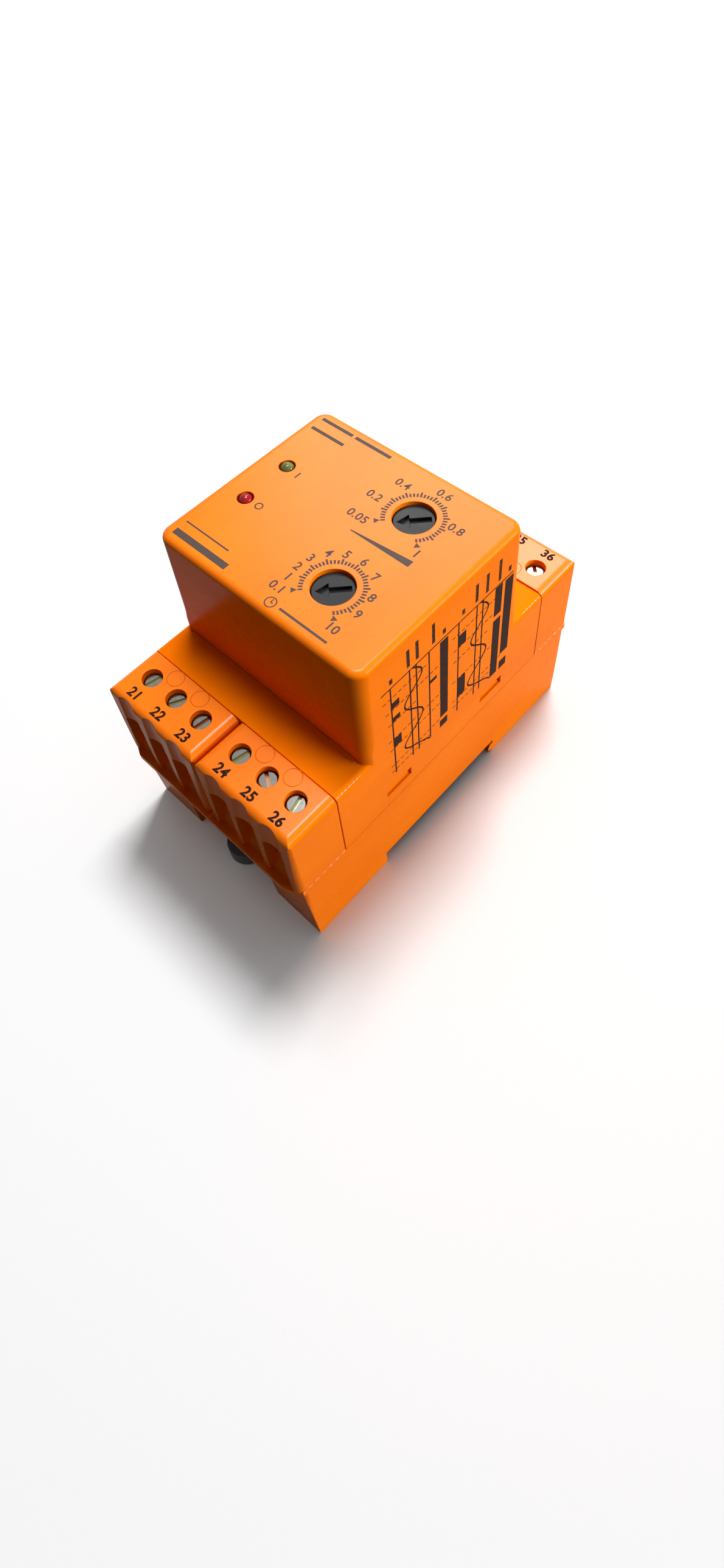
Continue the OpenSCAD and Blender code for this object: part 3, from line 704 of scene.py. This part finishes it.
class RELAY_OT_controls(bpy.types.Operator):
    """Knobs and lamps on the face"""

    bl_idname = "relay.controls"
    bl_label = "Knobs And Lamps"

    def execute(self, context):
        s = context.scene.relay_finish
        black = tuple(s.knob_colour)
        knob = moulded("knob_black", black, tuple(1.5 * c for c in black), 0.25, 0.22 * MM,
                       0.12 * MM, 0.12, depth=5e-6, specks=False)
        paint(["level_knob", "delay_knob"], knob)
        paint(["green_lamp"], tinted_lens("lens_green", tuple(s.green_colour)))
        paint(["red_lamp"], tinted_lens("lens_red", tuple(s.red_colour)))
        return {"FINISHED"}


# Numbers round each dial: words and place on the face, in millimetres
LEVEL_NUMBERS = (("0.05", 0.6, 4.6), ("0.2", -0.5, 10.5), ("0.4", 1.7, 16.2), ("0.6", 9.7, 18.9),
                 ("0.8", 16.9, 13.4), ("1", 15.2, 4.4))
DELAY_NUMBERS = (("0.1", 1.2, -17.0), ("1", 1.2, -14.1), ("2", 0.8, -11.3), ("3", 1.2, -8.4),
                 ("4", 2.9, -5.5), ("5", 5.7, -3.7), ("6", 9.4, -3.0), ("7", 13.3, -4.4),
                 ("8", 15.9, -8.2), ("9", 16.5, -12.4), ("10", 15.4, -17.3))

# Dial scales: start and sweep in degrees, and sizes of the ticks and end marks in millimetres
SCALE_FROM, SCALE_SWEEP = 225.0, -270.0
LONG_EVERY, LONG_TICK, SHORT_TICK, END_TICK, TICK_WIDTH = 4, 1.3, 0.9, 0.85, 0.4
END_TIP, END_LENGTH, END_HALF = 6.3, 1.15, 0.65


class RELAY_OT_scales(bpy.types.Operator):
    """Tick rings and numbers printed round the two dials"""

    bl_idname = "relay.scales"
    bl_label = "Dial Scales"

    def execute(self, context):
        s = context.scene.relay_print
        ink = printed_ink("face_ink", tuple(s.face_ink), 0.12, 0.2)
        lift = lift_mm()
        for name, numbers in (("level", LEVEL_NUMBERS), ("delay", DELAY_NUMBERS)):
            centre = np.array(JOINTS[name + "_knob_turn"]["pos_m"][:2]) / MM
            steps = np.arange(s.tick_count + 1)
            angle = np.radians(SCALE_FROM + SCALE_SWEEP * steps / s.tick_count)
            ray = np.column_stack([np.cos(angle), np.sin(angle)])
            start = s.tick_start / MM
            length = np.where(steps % LONG_EVERY == 0, LONG_TICK, SHORT_TICK)
            length[[0, -1]] = END_TICK
            finish = start + length[:, None]
            ticks = strips(centre + start * ray, centre + finish * ray, TICK_WIDTH, lift)
            ends = []
            for out in ray[[0, -1]]:
                tip, foot = centre + END_TIP * out, centre + (END_TIP + END_LENGTH) * out
                side = END_HALF * np.array([-out[1], out[0]])
                ends.append(patch([tip, foot - side, foot + side], lift))
            height = s.number_height / MM
            words = [number(text, height, (x, y), lift, DIAL_BOLD) for text, x, y in numbers]
            add_piece(name + "_scale", *on_plane(gather([ticks, *ends]), FACE_Z), ink)
            add_piece(name + "_numbers", *on_plane(gather(words), FACE_Z), ink)
        return {"FINISHED"}


# Blank label bars and strokes on the face: start, end and width, in millimetres
FIELDS = np.array([
    (-23.6, 20.1, -15.2, 20.1, 0.8), (-14.4, 20.1, -5.0, 20.1, 0.8), (-23.6, 16.9, -14.8, 16.9, 0.8),
    (-23.4, -19.8, -9.0, -19.8, 1.5), (-23.4, -16.9, -11.6, -16.9, 0.35),
])
STROKES = np.array([
    (3.0, -20.2, 3.0, -19.35, 0.24), (3.0, -20.2, 3.55, -20.2, 0.24),
    (5.2, -20.2, 16.6, -20.2, 0.5), (-15.8, 4.2, -15.8, 5.9, 0.34),
])

# Rings on the face (centre, radius and width) and the rising wedge's corners, in millimetres
RINGS = (((3.0, -20.2), 1.1, 0.26), ((-15.6, -5.5), 0.75, 0.3))
WEDGE = ((2.0, 1.0), (16.0, 1.0), (16.0, 2.6), (2.0, 1.25))


def straight(rows, lift):
    """Bars from rows of start, end and width."""
    return strips(rows[:, :2], rows[:, 2:4], rows[:, 4], lift)


class RELAY_OT_face_marks(bpy.types.Operator):
    """Plain marks on the face: a rising wedge, a clock, lamp marks and blank label fields"""

    bl_idname = "relay.face_marks"
    bl_label = "Face Marks"

    def execute(self, context):
        s = context.scene.relay_print
        ink = printed_ink("mark_ink", tuple(s.face_ink), 0.12, 0.2)
        lift = lift_mm()
        around = np.radians(np.arange(0, 360, 7.5))
        circle = np.column_stack([np.cos(around), np.sin(around)])
        marks = [patch(WEDGE, lift), straight(STROKES, lift)]
        for centre, radius, width in RINGS:
            marks.append(band(np.array(centre) + radius * circle, width, lift, closed=True))
        add_piece("face_marks", *on_plane(gather(marks), FACE_Z), ink)
        add_piece("label_fields", *on_plane(straight(FIELDS, lift), FACE_Z), ink)
        return {"FINISHED"}


# Numbers at the poles of each cover, and how far outside the screws they stand, in millimetres
TERMINAL_FIGURES = {"lower_left": (21, 22, 23), "lower_right": (24, 25, 26),
                    "upper_left": (33, 32, 31), "upper_right": (36, 35, 34)}
FIGURE_OUT = 4.6


def screw_spot(corner, pole):
    """Place of a terminal screw's axis on its cover, in millimetres."""
    return np.array(JOINTS[f"{corner}_screw_{pole}_turn"]["pos_m"][:2]) / MM


class RELAY_OT_terminal_numbers(bpy.types.Operator):
    """Plain numbers printed on the covers in front of the screws"""

    bl_idname = "relay.terminal_numbers"
    bl_label = "Terminal Numbers"

    def execute(self, context):
        s = context.scene.relay_print
        ink = printed_ink("cover_ink", tuple(s.ink_colour), 0.25)
        lift = lift_mm()
        height = s.terminal_height / MM
        for corner, figures in TERMINAL_FIGURES.items():
            words = []
            for pole, figure in zip(POLES, figures):
                x, y = screw_spot(corner, pole)
                place = (x, y + FIGURE_OUT * np.sign(y))
                words.append(number(str(figure), height, place, lift, TERMINAL_BOLD))
            add_piece(corner + "_numbers", *on_plane(gather(words), COVER_Z), ink)
        return {"FINISHED"}


# Two timing diagrams on the right side, drawn in (y, z) in millimetres
DIAGRAM_TOP, DIAGRAM_FOOT = 64.7, 35.2
TOP_LINE, TOP_WIDTH, LINE_WIDTH, WAVE_WIDTH = (-17.8, 19.6), 0.3, 0.36, 0.4
DASH_STEP, DASH_LENGTH, DASH_WIDTH, LABEL_WIDTH = 1.35, 0.85, 0.22, 0.8
WAVE_SWING, WAVE_LENGTH, WAVE_GROWS_AT, WAVE_DOUBLES_IN = 2.5, 13.2, 44.0, 12.0
WAVE_CENTRES = (-9.5, 9.7)
LINE_PLACES = (-15.4, -10.3, -8.5, -5.0, 3.4, 8.7, 10.5)
# Blocks: place along the side, top, foot and width
BLOCKS = ((-14.35, 59.8, 57.9, 2.1), (-14.3, 55.0, 53.6, 2.0), (-14.35, 47.7, 44.8, 2.1),
          (-3.95, 55.3, 54.3, 2.0), (-0.8, 64.1, 38.9, 2.3), (-0.9, 37.6, 35.2, 2.3),
          (4.6, 60.6, 57.1, 2.1), (4.6, 46.6, 40.0, 2.2), (15.3, 64.4, 55.7, 2.2),
          (15.3, 54.3, 35.0, 2.3), (18.5, 64.0, 40.3, 2.5), (18.4, 37.6, 34.8, 2.3))
# Faint bars for the words over the diagrams: place, foot and length
LABELS = np.array([
    (-15.1, 65.9, 1.4), (-10.5, 66.0, 5.0), (-8.1, 66.0, 5.2), (-3.7, 66.0, 5.6), (-0.75, 65.9, 1.4),
    (4.7, 66.1, 1.4), (8.5, 66.0, 5.0), (11.6, 65.9, 5.2), (15.3, 65.9, 5.8), (18.4, 65.9, 1.4),
])
# Rows of dashes: start, end and height
DASH_ROWS = ((-17.5, -5.6, 61.6), (-17.0, -3.4, 57.6), (-16.6, -9.6, 53.4), (-16.8, -2.6, 47.8),
             (-16.6, -2.2, 44.6), (-16.6, -2.6, 38.6), (-16.6, -5.6, 36.4),
             (1.6, 13.8, 61.4), (2.0, 13.9, 57.0), (2.0, 11.8, 53.4), (1.8, 14.0, 46.7),
             (1.8, 17.0, 39.9), (2.0, 16.8, 37.8))


class RELAY_OT_side_diagram(bpy.types.Operator):
    """Bars, waves and dashed lines of the timing diagrams on the right side"""

    bl_idname = "relay.side_diagram"
    bl_label = "Side Diagram"

    def execute(self, context):
        colour = tuple(context.scene.relay_print.ink_colour)
        ink = printed_ink("side_ink", colour, 0.2)
        lift = lift_mm()
        down = np.linspace(DIAGRAM_TOP, DIAGRAM_FOOT, 60)
        along = np.linspace(*TOP_LINE, 30)
        top_line = np.column_stack([along, np.full(len(along), DIAGRAM_TOP)])
        marks = [band(top_line, TOP_WIDTH, lift)]
        for y in LINE_PLACES:
            marks.append(band(np.column_stack([np.full(len(down), y), down]), LINE_WIDTH, lift))
        wave = WAVE_SWING * np.sin(2 * math.pi * (DIAGRAM_TOP - down) / WAVE_LENGTH)
        wave *= 1.0 + np.clip(WAVE_GROWS_AT - down, 0.0, None) / WAVE_DOUBLES_IN
        for centre in WAVE_CENTRES:
            marks.append(band(np.column_stack([centre + wave, down]), WAVE_WIDTH, lift))
        for y, top, foot, width in BLOCKS:
            steps = max(2, int(abs(top - foot) / 1.5) + 1)
            path = np.column_stack([np.full(steps, y), np.linspace(top, foot, steps)])
            marks.append(band(path, width, lift))
        for start, end, z in DASH_ROWS:
            first = np.arange(start, end, DASH_STEP)
            dashes = np.column_stack([first, np.full(len(first), z)])
            marks.append(strips(dashes, dashes + [DASH_LENGTH, 0], DASH_WIDTH, lift))
        add_piece("side_diagram", *on_side(gather(marks)), ink)
        faint = printed_ink("label_ink", colour, 0.85)
        labels = strips(LABELS[:, :2], LABELS[:, :2] + LABELS[:, 2:] * [0, 1], LABEL_WIDTH, lift)
        add_piece("side_labels", *on_side(labels), faint)
        return {"FINISHED"}


def flash(path, radius, seed, sides=6):
    """Ragged line of moulding flash and of painted glints: a tube along a path whose radius wavers with
    a sum of sines.
    """
    path = np.asarray(path, float)
    along = np.linspace(0, 1, len(path))
    waver = sum(np.sin(along * k * 40 + seed * k) / k for k in (1.0, 2.3, 4.1, 7.7))
    size = radius * np.clip(0.55 + 0.45 * waver, 0.08, None)
    run = np.gradient(path, axis=0)
    run /= np.linalg.norm(run, axis=1)[:, None]
    side = np.cross(run, [0.3, 0.2, 1.0])
    side /= np.linalg.norm(side, axis=1)[:, None]
    over = np.cross(run, side)
    turn = np.linspace(0, 2 * math.pi, sides, endpoint=False)[None, :, None]
    ring = side[:, None] * np.cos(turn) + over[:, None] * np.sin(turn)
    points = path[:, None] + ring * size[:, None, None]
    return points.reshape(-1, 3), tube_faces(len(path), sides)


# Pale ragged beads: start and end on the case and radius, in millimetres. The first two are moulding
# flash along the covers' lower seams, with a painted highlight in their pale colour; the last two, on
# the shoulders' right edges, are painted glints.
FLASH_AND_GLINT_LINES = (((26.22, -31.4, 25.15), (26.22, -43.4, 25.15), 0.13),
               ((26.22, 31.4, 25.15), (26.22, 43.4, 25.15), 0.13),
               ((25.72, -24.6, 46.13), (25.72, -31.0, 46.13), 0.14),
               ((25.72, 24.6, 46.13), (25.72, 31.0, 46.13), 0.10))

# Ejector rings: distance inwards of the screws, radius, half width and height, in millimetres
EJECTOR_IN, EJECTOR_RADIUS, EJECTOR_TUBE, EJECTOR_HEIGHT = 3.1, 1.85, 0.09, 0.035


class RELAY_OT_mould_marks(bpy.types.Operator):
    """Ejector rings on the covers, and thin pale beads: flash along the seams and painted glints on the
    shoulders' edges, whose paler colour is a painted highlight
    """

    bl_idname = "relay.mould_marks"
    bl_label = "Mould Marks"

    def execute(self, context):
        covers = bpy.data.materials["cover_orange"]
        for corner in CORNERS:
            spots = [screw_spot(corner, pole) for pole in POLES]
            rings = []
            for first, second in zip(spots, spots[1:]):
                centre = (first + second) / 2
                centre[1] -= EJECTOR_IN * np.sign(centre[1])
                rings.append(bead(centre, EJECTOR_RADIUS, EJECTOR_TUBE, EJECTOR_HEIGHT))
            rings = on_plane(gather(rings), COVER_Z)
            add_piece(corner + "_ejector_rings", *rings, covers, smooth=True)
        s = context.scene.relay_finish
        # The beads' paler orange is a painted highlight on the flash and the glints
        pale = tuple(min(1.0, 0.6 * c + 0.4) for c in s.case_colour)
        thin = moulded("flash_pale", pale, tuple(s.case_colour), 0.2, s.grain_size, 0.02 * MM,
                       specks=False)
        lines = [flash(np.linspace(start, end, 90), radius, seed)
                 for seed, (start, end, radius) in enumerate(FLASH_AND_GLINT_LINES)]
        add_piece("seam_flash", *gather(lines), thin, smooth=True)
        return {"FINISHED"}


# Camera that matches the photograph, in a frame of 1190 by 2576 pixels
PHOTO_WIDTH, PHOTO_HEIGHT = 1190, 2576
CAMERA_PLACE = (87.835, -77.271, 198.004)
CAMERA_ROWS = ((0.7298, 0.6805, -0.0659), (0.5085, -0.6047, -0.6130), (-0.4570, 0.4138, -0.7873))
FOCAL_PIXELS = 1510.275
AXIS_PIXEL = (586.680, 1010.479)
SENSOR_MM = 36.0


def aim_camera():
    """Camera placed by its centre and axes, with its shift from the photograph's framing."""
    data = bpy.data.cameras.new("photo_camera")
    data.sensor_fit = "VERTICAL"
    data.sensor_height = SENSOR_MM
    data.lens = SENSOR_MM * FOCAL_PIXELS / PHOTO_HEIGHT
    data.shift_x = (PHOTO_WIDTH / 2 - AXIS_PIXEL[0]) / PHOTO_HEIGHT
    data.shift_y = (AXIS_PIXEL[1] - PHOTO_HEIGHT / 2) / PHOTO_HEIGHT
    data.clip_start = 0.01
    camera = bpy.data.objects.new("photo_camera", data)
    bpy.context.scene.collection.objects.link(camera)
    right, down, forward = (Vector(row).normalized() for row in CAMERA_ROWS)
    turn = Matrix((right, -down, -forward)).transposed()
    camera.matrix_world = Matrix.Translation(Vector(CAMERA_PLACE) * MM) @ turn.to_4x4()
    bpy.context.scene.camera = camera


# Lamps: azimuth from +X towards +Y and elevation in degrees, distance and size in metres, the setting
# that holds the power, and whether it lights the floor alone (INCLUDE) or all but it (EXCLUDE)
LAMPS = {
    "top_lamp": (118, 77, 0.85, (0.3, 0.3), "top_power", "EXCLUDE"),
    "sheen_lamp": (126, 44, 0.8, (0.4, 0.25), "sheen_power", "EXCLUDE"),
    "floor_lamp": (108, 68, 1.2, (0.3, 0.3), "floor_power", "INCLUDE"),
    "floor_fill": (108, 86, 1.0, (1.2, 1.2), "fill_power", "INCLUDE"),
    "side_lamp": (28, 18, 0.7, (0.5, 0.24), "side_power", "EXCLUDE"),
}
LAMP_TARGET = (0.0, 0.0, 0.045)

# Floor: half its width and its drop below the feet in millimetres, and where it fades to white, in
# metres from the origin
FLOOR_HALF, FLOOR_DROP = 2500.0, 0.03
FADE_FROM, FADE_TO = 0.14, 0.40


def soft_lamp(name, azimuth, elevation, distance, size, power):
    """Rectangular lamp aimed at the part; azimuth is counted from +X towards +Y, in degrees."""
    data = bpy.data.lights.new(name, "AREA")
    data.shape = "RECTANGLE"
    data.size, data.size_y = size
    data.energy = power
    lamp = bpy.data.objects.new(name, data)
    bpy.context.scene.collection.objects.link(lamp)
    a, e = math.radians(azimuth), math.radians(elevation)
    away = Vector((math.cos(a) * math.cos(e), math.sin(a) * math.cos(e), math.sin(e)))
    lamp.location = Vector(LAMP_TARGET) + distance * away
    lamp.rotation_euler = away.to_track_quat("Z", "Y").to_euler()
    return lamp


def link_floor(lamp, floor, state):
    """Makes a lamp light the floor alone (INCLUDE) or everything but the floor (EXCLUDE)."""
    group = bpy.data.collections.new(lamp.name + "_link")
    group.objects.link(floor)
    group.collection_objects[0].light_linking.link_state = state
    lamp.light_linking.receiver_collection = group


def seen_rays(g):
    """1 for rays that the camera, a reflection or a lens sends, else 0."""
    path = g.add("LightPath").outputs
    seen = g.math("MAXIMUM", path["Is Camera Ray"], path["Is Glossy Ray"])
    return g.math("MAXIMUM", seen, path["Is Transmission Ray"])


class RELAY_OT_stage(bpy.types.Operator):
    """Pale floor, soft lamps, sky and camera"""

    bl_idname = "relay.stage"
    bl_label = "Stage"

    def execute(self, context):
        scene = context.scene
        s = scene.relay_stage
        material, g = new_material("floor_paper", tuple(s.floor_colour))
        spot, seen = g.coords(), seen_rays(g)
        fibre = g.noise(spot, 1.2 * MM, 3.0)
        grain = g.mix(g.span(fibre, 0.3, 0.7, 0.0, 0.04), tuple(s.floor_colour), (0.7, 0.7, 0.7))
        reach = g.add("VectorMath", {0: spot}, operation="LENGTH").outputs["Value"]
        far = g.span(reach, FADE_FROM, FADE_TO)
        near = g.mix(far, grain, (0.0, 0.0, 0.0))
        g.finish(Base_Color=g.mix(seen, tuple(s.floor_bounce), near), Roughness=0.7,
                 Specular_IOR_Level=0.2, Emission_Color=(1.0, 1.0, 1.0),
                 Emission_Strength=g.math("MULTIPLY", far, seen))
        corners = FLOOR_HALF * np.array([(-1, -1), (1, -1), (1, 1), (-1, 1)])
        points = np.column_stack([corners, np.full(len(corners), -FLOOR_DROP)])
        floor = plain_object("floor", points, [range(len(corners))])
        floor.data.materials.append(material)
        for name, (*place, power, state) in LAMPS.items():
            link_floor(soft_lamp(name, *place, getattr(s, power)), floor, state)
        world = bpy.data.worlds.new("studio_sky")
        world.use_nodes = True
        g = Graph(world.node_tree)
        level = g.span(seen_rays(g), 0.0, 1.0, s.sky_strength, 1.0)
        sky = g.add("Background", {"Color": (0.97, 0.98, 1.0, 1.0), "Strength": level})
        g.add("OutputWorld", {"Surface": sky.outputs["Background"]})
        scene.world = world
        scene.view_settings.view_transform = "Standard"
        aim_camera()
        return {"FINISHED"}


OPERATORS = (RELAY_OT_case, RELAY_OT_front, RELAY_OT_terminals, RELAY_OT_clips, RELAY_OT_inside,
             RELAY_OT_controls, RELAY_OT_scales, RELAY_OT_face_marks, RELAY_OT_terminal_numbers,
             RELAY_OT_side_diagram, RELAY_OT_mould_marks, RELAY_OT_stage)
GROUPS = {"relay_finish": RelayFinish, "relay_print": RelayPrint, "relay_stage": RelayStage}


class RELAY_PT_sidebar(bpy.types.Panel):
    """Settings and steps of the relay's looks"""

    bl_idname = "RELAY_PT_sidebar"
    bl_label = "Protection Relay"
    bl_space_type = "VIEW_3D"
    bl_region_type = "UI"
    bl_category = "Relay"

    def draw(self, context):
        layout = self.layout
        for setting in GROUPS:
            group = getattr(context.scene, setting)
            box = layout.box()
            for key in group.bl_rna.properties.keys():
                if key not in ("rna_type", "name"):
                    box.prop(group, key)
        for operator in OPERATORS:
            layout.operator(operator.bl_idname)


def register():
    """Registers the classes and hangs the settings on the scene."""
    for cls in (*GROUPS.values(), *OPERATORS, RELAY_PT_sidebar):
        bpy.utils.register_class(cls)
    for key, group in GROUPS.items():
        setattr(bpy.types.Scene, key, PointerProperty(type=group))


def unregister():
    """Undoes register."""
    for key in GROUPS:
        delattr(bpy.types.Scene, key)
    for cls in reversed((*GROUPS.values(), *OPERATORS, RELAY_PT_sidebar)):
        bpy.utils.unregister_class(cls)


def main():
    register()
    for operator in OPERATORS:
        group, step = operator.bl_idname.split(".")
        getattr(getattr(bpy.ops, group), step)()


if __name__ == "__main__":
    main()
